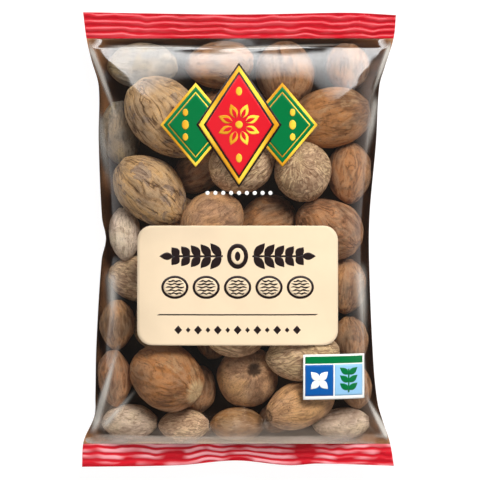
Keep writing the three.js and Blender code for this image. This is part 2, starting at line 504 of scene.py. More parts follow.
def nutmeg_material(name, groove, patch, patches, lines, ridges, dashes, specks, streaks, contours):
    """Dry seed: its tint in patches, contour lines along it, dashes, specks and a scar."""
    material, tree = new_material(name)
    fibre, place = stored(tree, "fibre", "Vector"), stored(tree, "place", "Vector")
    marks = stored(tree, "marks", "Vector")
    furrow, pale_scar, dark_scar = node(tree, "SeparateXYZ", {0: marks}).outputs
    groove, patch = linear(*groove), linear(*patch)
    colour = stored(tree, "tint", "Color")

    def cloud(vector, scale, detail, rough=0.55, bend=0.0):
        return clouds(tree, vector, scale, detail, rough, bend)

    def step(value, low, high):
        return ramp(tree, value, low, high)

    def times(*values):
        return product(tree, *values)

    def near(value, level, reach):
        return step(sums(tree, "ABSOLUTE", sums(tree, "SUBTRACT", value, level)), reach, 0.0)

    def paint(share, shade, how="MIX"):
        nonlocal colour
        colour = blend_colours(tree, share, colour, shade, how)

    broad = cloud(place, 0.12, 3.0)
    paint(step(broad, 0.38, 0.66), linear(236, 214, 186), "SOFT_LIGHT")
    paint(times(step(broad, 0.5, 0.32), 0.45), groove)
    stain = cloud(place, 0.15, 5.0, 0.62, 0.6)
    paint(times(step(stain, 0.56, 0.60), 0.8 * patches), patch)
    paint(times(near(stain, 0.58, 0.018), 0.45 * patches), groove)
    paint(times(step(cloud(place, 0.9, 4.0, 0.6), 0.48, 0.36), 0.28), groove)

    wave = cloud(fibre, 0.5, 1.8, 0.42, 0.45)
    waves = sums(tree, "SINE", times(wave, 2 * math.pi * contours))
    shown = step(cloud(place, 0.26, 2.0), 0.36, 0.56)
    paint(times(step(waves, 0.3, -0.7), streaks, 0.6), linear(222, 194, 158))
    thin_lines = times(step(waves, 0.82, 0.985), shown, lines)
    close_ridges = times(step(waves, -0.1, 0.75), ridges)
    paint(thin_lines, groove)
    paint(close_ridges, groove)
    fine = cloud(fibre, 2.4, 3.0, 0.55, 0.3)
    paint(times(step(fine, 0.40, 0.30), 0.4), groove)
    short = times(step(cloud(fibre, 4.6, 1.0), 0.62, 0.70), step(cloud(place, 0.3, 2.0), 0.45, 0.55))
    paint(times(short, dashes), groove)
    paint(times(furrow, 0.6), groove)

    dots = node(tree, "TexVoronoi", {"Vector": place, "Scale": 0.8}).outputs["Distance"]
    chance = step(cloud(place, 0.3, 2.0), 0.5, 0.6)
    paint(times(step(dots, 0.20, 0.08), chance, specks), linear(58, 40, 28))
    paint(pale_scar, linear(236, 208, 160))
    paint(dark_scar, linear(52, 38, 30))

    relief = sums(tree, "SUBTRACT", times(cloud(place, 3.4, 4.0), 0.3), thin_lines)
    relief = sums(tree, "SUBTRACT", relief, close_ridges)
    relief = sums(tree, "ADD", relief, times(fine, 0.6))
    principled(tree, {
        "Base Color": colour,
        "Roughness": remap(tree, fine, 0.3, 0.7, 0.64, 0.44),
        "Normal": node(tree, "Bump", {"Height": relief, "Strength": 0.7, "Distance": 0.00035}).outputs[0],
        "Specular IOR Level": 0.45,
    })
    return material


# ---- film

CRIMP_PITCH = 0.002
CRIMP_RISE = 0.0003
SEAM_WIDTH = 0.010
SEAM_THICKNESS = 0.0004
SEAM_SINK = 0.0001  # the fin starts this far below the outer face of the back film
SEAM_RIDGE = 0.00006
OFF_SURFACE = 0.00002  # the fin stays this far above what the pack lies on
FILM = 0.00006
BACK_FILM = 0.00012
FRONT_GRID = (210, 160)  # rows and columns
BACK_GRID = (100, 80)
SEAM_GRID = (200, 12)


def grid_normals(points):
    """Normals of a grid of points, and how long each of them is."""
    normals = np.cross(np.gradient(points, axis=1), np.gradient(points, axis=0))
    return normals, np.maximum(np.linalg.norm(normals, axis=2, keepdims=True), 1e-12)


def offset_inwards(points, distance):
    """A grid of points moved against its own normals."""
    normals, length = grid_normals(points)
    return points - distance * normals / length


def make_front_film(material):
    s, y = film_grid(*FRONT_GRID)
    x = width_to_x(s, y)
    outer = np.stack([x, y, front_height(x, y)], 2)
    film = sheet("film_front", outer, offset_inwards(outer, FILM), material)
    # Its whitening is partly a painted highlight, on the folds and above the bottom seal.
    give_values(film, "white_and_painted_sheen", whitening_and_painted_sheen(x, y))
    return film


def make_back_film(material):
    s, y = film_grid(*BACK_GRID)
    x = width_to_x(-s, y)
    outer = np.stack([x, y, back_height(x, y)], 2)
    film = sheet("film_back", outer, offset_inwards(outer, BACK_FILM), material)
    give_values(film, "pale", painted_margin_light(s, y))
    return film


def painted_margin_light(s, y):
    """The back is a lighter brown at its sides and next to the seals: painted light where the heap shades it
    less.
    """
    at_side = 10 * np.abs(s) - 8.6
    at_end = 1.2 - np.minimum(y - BOTTOM_SEAL_INNER, TOP_SEAL_INNER - y) / 0.005
    return np.clip(np.maximum(at_side, at_end), 0, 1)


def make_back_seam(material):
    """The lengthwise seam of the back: a crimped fin, folded flat to one side."""
    across, y = film_grid(*SEAM_GRID)
    x = SEAM_WIDTH * (across + 1) / 2
    ridge = SEAM_RIDGE * np.sin(2 * math.pi * y / CRIMP_PITCH)
    top = back_height(x, y) - SEAM_SINK
    under = np.maximum(top - SEAM_THICKNESS + ridge, OFF_SURFACE)
    seam = sheet("back_seam", np.stack([x, y, top], 2), np.stack([x, y, under], 2), material)
    give_values(seam, "pale", painted_margin_light(0 * x, y))
    return seam


# ---- seals

SEAL_THICKNESS = 0.0006
SEAL_ROWS, SEAL_COLUMNS = 56, 220
SEAL_WARP = 0.0004
# Each end seal: its inner line, its cut end, the seed of its unevenness, how strong its
# ridges are and how strongly a pale painted highlight shows on them.
SEALS = {
    "seal_top": (TOP_SEAL_INNER, TOP_END, 31, 1, 0.08),
    "seal_bottom": (BOTTOM_SEAL_INNER, BOTTOM_END, 47, 0.65, 0.85),
}


def make_seal(name, material):
    """A crimped red end: wandering ridges across it, and a slightly uneven cut edge."""
    inner, ends, seed, ridge_strength, painted_highlight = SEALS[name]
    outermost = ends[0, 1]
    t = np.linspace(0, 1, SEAL_ROWS)
    y = inner + (outermost - inner) * (t if outermost > inner else t[::-1])
    s, y = np.meshgrid(np.linspace(-1, 1, SEAL_COLUMNS), y)
    x = width_to_x(s, y)
    end = along(ends, x)
    from_inner = np.abs(y - inner)
    y = inner + (y - inner) * (end - inner) / (outermost - inner)
    wander = 0.6 * plane_noise(x, y * 0, 0.018, seed) + 0.45 * plane_noise(x, y, 0.005, seed + 5)
    fade = (0.75 + 0.45 * plane_noise(x, y, 0.012, seed + 9)) * ridge_strength
    ridges = np.sin(2 * math.pi * (from_inner / CRIMP_PITCH + wander))
    warp = SEAL_WARP * plane_noise(x, y * 0.5, 0.016, seed + 13)
    middle = SEAL_HEIGHT + (CRIMP_RISE * fade * ridges + warp) * np.minimum(from_inner / 0.001, 1)
    rim = (SEAL_THICKNESS / 2) * np.sqrt(np.maximum(1 - s ** 16, 0))
    outer = np.stack([x, y, middle + rim], 2)
    under = np.stack([x, y, middle - rim], 2)
    seal = sheet(name, outer, under, material)

    # Pale streaks on the crests of the ridges: a painted highlight.
    streaks = np.clip(0.6 + 2.2 * plane_noise(0.6 * x, y, 0.004, seed + 21), 0, 1)
    give_values(seal, "pale", painted_highlight * streaks * np.clip(0.6 + ridges, 0, 1))
    return seal


# ---- prints on the film

PRINT_LIFT = 0.00004     # from the film's outer face to the top of the first ink
PRINT_STEP = 0.00003     # from one ink to the next one over it
PRINT_THICKNESS = 0.00002
PRINT_CELL = 0.0011      # the ink follows the film in steps of this length
LEAF_STEPS = 20          # along each side of a leaf


def laid_print(name, outline, level, ink):
    """A patch of ink on the film, in rings from the middle of its outline outwards."""
    count = len(outline)
    centre = outline.mean(0, keepdims=True)
    rings = 2 + int(np.linalg.norm(outline - centre, axis=1).max() / PRINT_CELL)
    shares_out = np.linspace(1 / rings, 1, rings)[:, None, None]
    grid = centre[None] + (outline - centre)[None] * shares_out
    lift = PRINT_LIFT + level * PRINT_STEP
    flat = np.concatenate([grid.reshape(-1, 2), centre])
    height = front_height(flat[:, 0], flat[:, 1])
    top = np.column_stack([flat, height + lift])
    bottom = np.column_stack([flat, height + lift - PRINT_THICKNESS])
    half = len(flat)
    faces = []
    for ring in range(rings - 1):
        for i in range(count):
            j = (i + 1) % count
            a, b = ring * count + i, ring * count + j
            c, d = b + count, a + count
            faces.append((a, d, c, b))
            faces.append((half + a, half + b, half + c, half + d))
    for i in range(count):
        j = (i + 1) % count
        last = (rings - 1) * count
        faces.append((last + i, half + last + i, half + last + j, last + j))
        faces.append((half - 1, i, j))
        faces.append((2 * half - 1, half + j, half + i))
    return make_piece(name, np.concatenate([top, bottom]), faces, INKS[ink])


def laid_prints(name, outlines, level, ink):
    """Several patches of one ink, joined in one piece."""
    patches = [laid_print(name, outline, level, ink) for outline in outlines]
    if len(patches) > 1:
        with bpy.context.temp_override(active_object=patches[0], selected_editable_objects=patches):
            bpy.ops.object.join()
    patches[0].name = name


def round_rectangle(centre, width, height, radius, count):
    """Outline with rounded corners, evenly stepped, counter-clockwise."""
    corners = []
    for k, (sx, sy) in enumerate([(1, 1), (-1, 1), (-1, -1), (1, -1)]):
        for angle in np.linspace(0, math.pi / 2, 16) + k * math.pi / 2:
            corners.append((
                centre[0] + sx * (width / 2 - radius) + radius * math.cos(angle),
                centre[1] + sy * (height / 2 - radius) + radius * math.sin(angle),
            ))
    return evenly(np.array(corners), count)


def evenly(outline, count):
    """The same closed outline with evenly spaced points."""
    closed = np.concatenate([outline, outline[:1]])
    run = np.concatenate([[0], np.cumsum(np.linalg.norm(np.diff(closed, axis=0), axis=1))])
    at = np.linspace(0, run[-1], count, endpoint=False)
    return np.column_stack([np.interp(at, run, closed[:, 0]), np.interp(at, run, closed[:, 1])])


def ellipse(centre, half_width, half_height, count=48):
    turn = np.linspace(0, 2 * math.pi, count, endpoint=False)
    return np.column_stack([half_width * np.cos(turn), half_height * np.sin(turn)]) + np.array(centre)


def lozenge(centre, half_width, half_height, count=96):
    corners = np.array([(half_width, 0), (0, half_height), (-half_width, 0), (0, -half_height)])
    return evenly(corners, count) + np.array(centre)


def leaf(root, length, width, angle):
    """A pointed leaf from its root outwards."""
    t = np.linspace(0, 1, LEAF_STEPS + 1)
    half = width / 2 * np.sin(math.pi * t ** 0.85)
    there = np.column_stack([t * length, half])
    back = np.column_stack([t[::-1] * length, -half[::-1]])[1:-1]
    return turned(np.concatenate([there, back]), root, angle)[::-1]


def rectangle(centre, width, height, count=80):
    corners = np.array([(1, 1), (-1, 1), (-1, -1), (1, -1)]) * np.array([width, height]) / 2
    return evenly(corners, count) + np.array(centre)


def turned(points, centre, angle):
    cosine, sine = math.cos(angle), math.sin(angle)
    return points @ np.array([(cosine, sine), (-sine, cosine)]) + np.array(centre)


LABEL_CENTRE = (-0.00040, -0.01350)
LABEL_WIDTH = 0.0591
LABEL_HEIGHT = 0.0351
LABEL_RADIUS = 0.0042
SPRIG_Y = -0.0049
SPRIG_PAIRS = 5
SEEDS_Y = -0.0140
SEEDS = 5
SEED_PITCH = 0.0092
VEIN_POINTS = 30  # along each side of a vein in a halved seed
VEIN_HALF_WIDTH = 0.00022
VEIN_WAVE = 0.0002
RULE_Y = -0.02205
ROW_Y = -0.0265


def make_label():
    """Cream panel with two sprigs, halved seeds, a rule and a row of lozenges."""
    middle = LABEL_CENTRE[0]
    panel_outline = round_rectangle(LABEL_CENTRE, LABEL_WIDTH, LABEL_HEIGHT, LABEL_RADIUS, 160)
    laid_prints("label_panel", [panel_outline], 0, "cream_print")

    seeds = [(middle + (k - (SEEDS - 1) / 2) * SEED_PITCH, SEEDS_Y) for k in range(SEEDS)]
    dark = [rectangle((middle, RULE_Y), 0.0474, 0.0004), ellipse((middle, SPRIG_Y), 0.0031, 0.0037)]
    dark += [ellipse(seed, 0.0040, 0.0034) for seed in seeds]
    for k in range(-6, 7):
        size = 0.0013 if k % 2 == 0 else 0.0008
        dark.append(lozenge((middle + k * 0.0029, ROW_Y), size * 0.9, size, 24))
    for side in (-1, 1):
        outward = 0 if side > 0 else math.pi
        dark.append(rectangle((middle + side * 0.0118, SPRIG_Y), 0.0150, 0.0006))
        dark.append(leaf((middle + side * 0.0188, SPRIG_Y), 0.0042, 0.0022, outward))
        for k in range(SPRIG_PAIRS):
            root = (middle + side * (0.0048 + 0.0031 * k), SPRIG_Y)
            for up in (-1, 1):
                dark.append(leaf(root, 0.0050 - 0.0004 * k, 0.0025, outward + side * up * math.radians(50)))
    laid_prints("label_ink", dark, 1, "dark_print")

    pale = [ellipse((middle, SPRIG_Y), 0.0019, 0.0024)]
    pale += [ellipse(seed, 0.0033, 0.0027) for seed in seeds]
    laid_prints("label_seeds", pale, 2, "cream_print")

    veins = [ellipse((middle, SPRIG_Y), 0.0008, 0.0014)]
    for phase, (x, y) in enumerate(seeds):
        for row in range(-2, 3):
            reach = 0.0028 * math.sqrt(1 - (row / 3.0) ** 2)
            veins.append(wavy_bar((x, y + row * 0.0009), reach, row + phase))
    laid_prints("label_veins", veins, 3, "dark_print")


def wavy_bar(centre, half_length, phase):
    """A thin wavy line, thicker in its middle."""
    t = np.linspace(-1, 1, VEIN_POINTS)
    middle = VEIN_WAVE * np.sin(7 * t + 1.7 * phase)
    half = VEIN_HALF_WIDTH * np.sqrt(1 - (0.98 * t) ** 2)
    there = np.column_stack([t * half_length, middle - half])
    back = np.column_stack([t * half_length, middle + half])[::-1]
    return np.concatenate([there, back]) + np.array(centre)


EMBLEM_CENTRE = (0.0, 0.0336)
EMBLEM_HALF = (0.0118, 0.0176)       # the middle lozenge
EMBLEM_SIDE_HALF = (0.0104, 0.0124)  # the lozenges beside it
EMBLEM_SIDE_OFFSET = 0.0127
PETALS = 8


def make_emblem():
    """Three lozenges side by side, green, red and green, edged in gold, with a rosette."""
    x, y = EMBLEM_CENTRE
    sides = [(x + side * EMBLEM_SIDE_OFFSET, y) for side in (-1, 1)]
    beside, middle = (sides, *EMBLEM_SIDE_HALF), ([EMBLEM_CENTRE], *EMBLEM_HALF)
    for level, (name, (centres, half_width, half_height), inset, ink) in enumerate([
        ("side_edges", beside, 0, "gold_print"), ("side_rims", beside, 0.0008, "green_print"),
        ("side_lines", beside, 0.0018, "gold_print"), ("side_fields", beside, 0.0021, "green_print"),
        ("outline", middle, -0.0006, "dark_print"), ("edge", middle, 0, "gold_print"),
        ("rim", middle, 0.0012, "dark_print"), ("field", middle, 0.0018, "red_print"),
    ]):
        halves = (half_width - inset * 1.2, half_height - inset * 1.5)
        laid_prints("emblem_" + name, [lozenge(centre, *halves) for centre in centres], level, ink)

    petals = [ellipse(EMBLEM_CENTRE, 0.0011, 0.0011)]
    petals += [ellipse((x, y + up * 0.0098), 0.0009, 0.0013) for up in (-1, 1)]
    hearts = []
    for k in range(PETALS):
        angle = 2 * math.pi * (k + 0.5) / PETALS
        root = (x + 0.0021 * math.cos(angle), y + 0.0021 * math.sin(angle))
        petals.append(leaf(root, 0.0044, 0.0024, angle))
        hearts.append(leaf(root, 0.0030, 0.0011, angle))
    for side, centre in zip((-1, 1), sides):
        for k in range(-1, 2):
            spot = (centre[0] + side * 0.0030, centre[1] + k * 0.0036)
            petals.append(ellipse(spot, 0.0010 - 0.0002 * abs(k), 0.0014 - 0.0003 * abs(k)))
    laid_prints("emblem_petals", petals, 8, "gold_print")
    laid_prints("emblem_hearts", hearts, 9, "red_print")

    pearls = [ellipse((x + k * 0.0023, 0.0136), 0.00062, 0.00062, count=20) for k in range(-4, 5)]
    laid_prints("emblem_pearls", pearls, 0, "white_print")


BADGE_CENTRE = (0.0280, -0.0404)
BADGE_WIDTH = 0.0184
BADGE_HEIGHT = 0.0133
BADGE_FIELD = (0.0084, 0.0092)  # each of the two fields under the strip


def make_badge():
    """A small mark: a green strip over a blue field with a flower and a pale one with a sprig."""
    x, y = BADGE_CENTRE
    blue, sky = (x - 0.0044, y - 0.0010), (x + 0.0044, y - 0.0010)
    strip = rectangle((x, y + 0.0050), BADGE_WIDTH - 0.0012, 0.0021, 100)
    laid_prints("badge_edge", [rectangle(BADGE_CENTRE, BADGE_WIDTH, BADGE_HEIGHT, 120)], 0, "white_print")
    laid_prints("badge_strip", [strip], 1, "green_print")
    laid_prints("badge_blue", [rectangle(blue, *BADGE_FIELD)], 1, "blue_print")
    laid_prints("badge_sky", [rectangle(sky, *BADGE_FIELD)], 1, "sky_print")
    flower = [leaf(blue, 0.0036, 0.0022, math.pi * (0.25 + k / 2)) for k in range(4)]
    laid_prints("badge_flower", flower, 2, "white_print")
    sprig = [rectangle((sky[0], y - 0.0012), 0.0005, 0.0070)]
    for k in range(3):
        for side in (-1, 1):
            angle = math.pi / 2 + side * math.radians(52)
            sprig.append(leaf((sky[0], y - 0.0040 + 0.0023 * k), 0.0034, 0.0018, angle))
    laid_prints("badge_sprig", sprig, 2, "green_print")


# ---- nutmegs

# Each nutmeg, in millimetres and degrees: x, y, length, width, the direction of its scar
# end in the plane, how far that end tilts up, its kind and its layer. They are pressed
# against the front film, in between, or behind the others.
# Kinds are partly chosen for light: those behind and some in front take the darker dull kind as painted
# shade, and some that sit in the shade of others a lighter kind as painted light.
FRONT, MIDDLE, BEHIND = 0, 1, 2
NUTMEGS = [
    (-23.5, 36.0, 28.0, 20.0, 132, 2, "lined", FRONT),
    (-26.5, 15.6, 25.0, 18.6, 140, 2, "lined", FRONT),
    (27.0, 36.8, 25.0, 17.4, 12, 0, "golden", FRONT),
    (-21.8, -40.9, 25.4, 19.0, -25, 38, "golden", FRONT),
    (0.9, -42.6, 22.0, 18.8, 50, 72, "smooth", MIDDLE),
    (19.6, -50.2, 22.5, 13.8, 197, 26, "smooth", FRONT),
    (-9.0, 7.0, 20.5, 17.6, 215, 35, "smooth", FRONT),
    (14.6, 49.8, 19.5, 16.8, -80, 5, "dull", FRONT),
    (19.2, 19.8, 20.0, 17.4, 110, 62, "ridged", FRONT),
    (26.4, 4.0, 21.5, 18.6, -30, 10, "dull", FRONT),
    (19.2, -35.6, 22.0, 15.4, 5, 5, "ridged", FRONT),
    (-0.6, -26.5, 20.5, 18.0, 10, 5, "ridged", FRONT),
    (1.5, 21.5, 20.5, 17.2, 30, 10, "ridged", FRONT),
    (-23.5, -25.0, 19.5, 16.0, 10, 10, "lined", MIDDLE),
    (-31.5, -10.5, 18.5, 13.6, 170, 5, "ridged", MIDDLE),
    (33.5, -15.5, 18.0, 12.8, 88, -6, "dull", MIDDLE),
    (33.8, 19.6, 18.5, 13.4, 88, 0, "dull", MIDDLE),
    (-37.0, 31.0, 20.0, 11.4, 96, 0, "grey", FRONT),
    (-35.2, 2.0, 16.0, 9.6, 92, 0, "cream", MIDDLE),
    (-37.0, -25.5, 15.0, 10.6, 90, 0, "dull", MIDDLE),
    (-37.5, -41.0, 17.0, 10.2, 95, 0, "dull", MIDDLE),
    (34.2, -32.5, 15.0, 11.6, 95, 0, "dull", MIDDLE),
    (34.0, -56.4, 18.0, 10.6, 4, 0, "cream", MIDDLE),
    (-34.6, -56.2, 17.0, 10.6, 0, 0, "cream", MIDDLE),
    (-16.5, -57.0, 15.0, 9.8, 0, 0, "ridged", MIDDLE),
    (0.0, -57.0, 16.0, 10.4, 0, 0, "golden", MIDDLE),
    (-28.6, 53.0, 21.0, 13.6, 3, 0, "grey", MIDDLE),
    (-5.5, 52.6, 20.5, 14.4, 5, 0, "dull", MIDDLE),
    (31.8, 52.6, 15.0, 13.4, 90, 0, "dull", MIDDLE),
    (9.3, 4.6, 19.5, 16.4, 30, 10, "dull", MIDDLE),
    (-9.0, -9.5, 21.0, 17.0, 60, 0, "dull", MIDDLE),
    (12.0, -12.0, 21.0, 17.0, 120, 0, "dull", MIDDLE),
] + [(*entry, 0, "dull", BEHIND) for entry in (
    (-9.0, 38.5, 19.0, 15.4, 70),
    (8.5, 36.0, 19.0, 15.4, -70),
    (-13.0, 22.5, 18.0, 14.6, 30),
    (-12.5, -33.0, 19.0, 15.0, 80),
    (8.0, -27.0, 19.0, 15.0, 20),
    (-9.5, -46.5, 17.5, 14.6, 90),
    (-17.0, 3.5, 17.5, 14.4, 110),
    (20.0, -24.0, 17.5, 14.4, 60),
    (17.5, 31.5, 17.0, 14.0, 40),
    (12.0, -54.0, 13.0, 10.0, 30),
)] + [(36.2, -45.5, 14.0, 9.6, 100, 0, "dull", MIDDLE)]
# Scars that show clearly, as the reach of each mark in radians from the nutmeg's end:
# pale patch, dark spot, dark ring, and then the depth of the pit in millimetres.
SCARS = {
    0: (0.42, 0.0, 0.0, 0.1),
    3: (0.42, 0.05, 0.0, 0.3),
    4: (0.0, 0.24, 0.0, 2.0),
    5: (0.0, 0.07, 0.20, 0.5),
    6: (0.30, 0.0, 0.0, 0.2),
}
BALLS = 7
CLEARANCE = 0.00015
UNDER_FILM = 0.0005
FILM_REACH = 0.005  # a ball keeps off the film only where it is nearer than this
FILM_SAMPLES = (52, 36)  # rows and columns of each film
EDGE_HEIGHT = 0.0125  # where those behind start next to a side edge
SIDE_DROP = 0.008  # front nutmegs start lower than that towards the sides
# For nutmegs in front, in between and behind: faces round and along them, and where they
# start, what lifts and pulls them in each step, and how readily they give way.
FINENESS = ((152, 72), (96, 46), (56, 28))
START_HEIGHT = np.array([0.0215, 0.0130, 0.0085])
LIFT = np.array([0.00006, 0.0, -0.0001])
PULL = np.array([0.4, 0.2, 0.5])
YIELDING = np.array([0.1, 0.5, 1.0])
SETTLING_STEPS = 260
FREE_STEPS = 24  # in the last steps nothing draws them to their wanted places
EASING_STEPS = 120  # and the draw eases off over the steps before those
PAIR_PUSH, FILM_PUSH = 0.5, 0.8  # share of an overlap that one step takes away
SMALLEST_WIDTH = 0.008
STEEPEST_SINK = 0.5


def axis_of(direction, tilt):
    direction, tilt = math.radians(direction), math.radians(tilt)
    return np.array([
        math.cos(direction) * math.cos(tilt), math.sin(direction) * math.cos(tilt), math.sin(tilt)
    ])


def film_planes():
    """Points of the film with outward normals, from which nutmegs keep away."""
    s, y = (grid[1:-1, 1:-1] for grid in film_grid(*FILM_SAMPLES))
    x = width_to_x(s, y)
    points, outwards = [], []
    for height, flip in ((front_height(x, y), 1), (back_height(x, y), -1)):
        grid = np.stack([x, y, height], 2)
        normals, length = grid_normals(grid)
        points.append(grid.reshape(-1, 3))
        outwards.append((flip * normals / length).reshape(-1, 3))
    return np.concatenate(points), np.concatenate(outwards)


class Heap:
    """Nutmegs as chains of balls, which are moved off each other and off the film."""

    def __init__(self):
        self.size = MM * np.array([entry[2:4] for entry in NUTMEGS])
        self.axis = np.array([axis_of(entry[4], entry[5]) for entry in NUTMEGS])
        self.layer = np.array([entry[7] for entry in NUTMEGS])
        self.wanted = MM * np.array([entry[:2] for entry in NUTMEGS])
        start = START_HEIGHT[self.layer]
        sideways = np.abs(x_to_width(*self.wanted.T))
        start -= (self.layer == FRONT) * SIDE_DROP * sideways ** 2
        start[(self.layer == BEHIND) & (sideways > 0.85)] = EDGE_HEIGHT
        self.centre = np.column_stack([self.wanted, start])
        self.plane_points, self.plane_normals = film_planes()

    def balls(self):
        half_long, half_wide = self.size.T / 2
        focus = half_long ** 2 - half_wide ** 2
        shift = np.linspace(-1, 1, BALLS)[None] * (focus / half_long)[:, None]
        radius = half_wide[:, None] * np.sqrt(1 - shift ** 2 / focus[:, None])
        return self.centre[:, None] + self.axis[:, None] * shift[:, :, None], radius

    def pair_overlaps(self, first, second):
        """The deepest overlap of each pair, and the direction from second to first."""
        balls, radius = self.balls()
        apart = (balls[first][:, :, None] - balls[second][:, None]).reshape(len(first), -1, 3)
        distance = np.linalg.norm(apart, axis=2)
        reach = (radius[first][:, :, None] + radius[second][:, None]).reshape(len(first), -1)
        overlap = reach + CLEARANCE - distance
        deepest = (np.arange(len(first)), overlap.argmax(1))
        way = apart[deepest] / np.maximum(distance[deepest], 1e-9)[:, None]
        return np.maximum(overlap[deepest], 0), way

    def film_overlaps(self, chosen):
        """How far each chosen nutmeg is through the film, and the way back in."""
        balls, radius = self.balls()
        balls, radius = balls[chosen].reshape(-1, 3), radius[chosen].reshape(-1, 1)
        across = balls[:, None] - self.plane_points[None]
        outside = np.einsum("bpk,pk->bp", across, self.plane_normals) + radius + UNDER_FILM
        near = (across ** 2).sum(2) < (radius + FILM_REACH) ** 2
        outside = np.where(near, outside, -1)
        worst = outside.argmax(1)
        amount = np.maximum(outside[np.arange(len(balls)), worst], 0).reshape(-1, BALLS)
        ball = amount.argmax(1)
        rows = np.arange(len(ball))
        return amount[rows, ball], -self.plane_normals[worst].reshape(-1, BALLS, 3)[rows, ball]

    def settle(self, layers):
        """Move the nutmegs of these layers; those of the layers before them stay put."""
        present = np.flatnonzero(self.layer <= max(layers))
        moving = np.flatnonzero(np.isin(self.layer, layers))
        first, second = present[np.array(np.triu_indices(len(present), 1))]
        give = YIELDING[self.layer] * np.isin(self.layer, layers)
        free = (give[first] + give[second]) > 0
        first, second = first[free], second[free]
        share = give[first] / (give[first] + give[second])
        pull_share = PULL[self.layer[moving], None]
        lift = LIFT[self.layer[moving]]
        for step in range(SETTLING_STEPS):
            pull = np.clip((SETTLING_STEPS - FREE_STEPS - step) / EASING_STEPS, 0, 1)
            self.centre[moving, :2] += (self.wanted - self.centre[:, :2])[moving] * pull_share * pull
            self.centre[moving, 2] += lift * pull
            push, way = self.pair_overlaps(first, second)
            np.add.at(self.centre, first, PAIR_PUSH * way * (push * share)[:, None])
            np.add.at(self.centre, second, -PAIR_PUSH * way * (push * (1 - share))[:, None])
            amount, inwards = self.film_overlaps(moving)
            self.centre[moving] += FILM_PUSH * amount[:, None] * self.way_back(moving, inwards)

    def way_back(self, moving, inwards):
        """Front nutmegs sink in place under a film that isn't steep; others go straight inwards."""
        sink = (self.layer[moving] == FRONT) & (inwards[:, 2] < -STEEPEST_SINK)
        down = np.stack([0 * sink, 0 * sink, 1 / np.minimum(inwards[:, 2], -STEEPEST_SINK)], 1)
        return np.where(sink[:, None], down, inwards)

    def shrink_to_fit(self, layer):
        """Make each nutmeg of a layer as small as its gap asks."""
        for index in np.flatnonzero(self.layer == layer):
            others = np.flatnonzero((np.arange(len(self.layer)) != index) & (self.layer <= layer))
            push, _ = self.pair_overlaps(np.full(len(others), index), others)
            amount, _ = self.film_overlaps(np.array([index]))
            self.size[index] -= 2 * max(push.max(), amount.max())
        self.kept = self.size[:, 1] > SMALLEST_WIDTH


def settle_nutmegs():
    heap = Heap()
    heap.settle((FRONT, MIDDLE))
    heap.shrink_to_fit(MIDDLE)
    heap.settle((BEHIND,))
    heap.shrink_to_fit(BEHIND)
    return heap


# How each kind is furrowed: furrows round it, furrows along it, their depth and their width,
# how unevenly they are spread, and how lumpy the nutmeg is.
FURROWS = {
    "lined": (7.0, 1.3, 0.00034, 0.18, 1.0, 0.06),
    "golden": (6.0, 1.3, 0.00014, 0.15, 1.0, 0.06),
    "smooth": (6.0, 1.3, 0.00012, 0.15, 1.0, 0.05),
    "ridged": (7.5, 3.6, 0.00022, 0.22, 0.6, 0.05),
    "dull": (6.0, 1.4, 0.00022, 0.18, 0.9, 0.10),
    "cream": (7.5, 1.8, 0.00024, 0.20, 0.8, 0.06),
    "grey": (5.5, 2.6, 0.00026, 0.16, 0.7, 0.10),
}


def scar_marks(scar, edge, rays):
    """How pale and how dark each point is by its scar, at a ragged distance from its middle."""
    pale_reach, spot_reach, ring_reach, _ = scar
    pale = np.clip((pale_reach - edge) / 0.18, 0, 1) * (pale_reach > 0) * (1.05 - 0.9 * rays)
    spot = np.clip((spot_reach - edge) / 0.04, 0, 1) * (spot_reach > 0)
    ring = np.clip(1 - np.abs(edge - ring_reach) / 0.07, 0, 1) * (ring_reach > 0)
    return pale, np.maximum(spot, ring) * 0.85


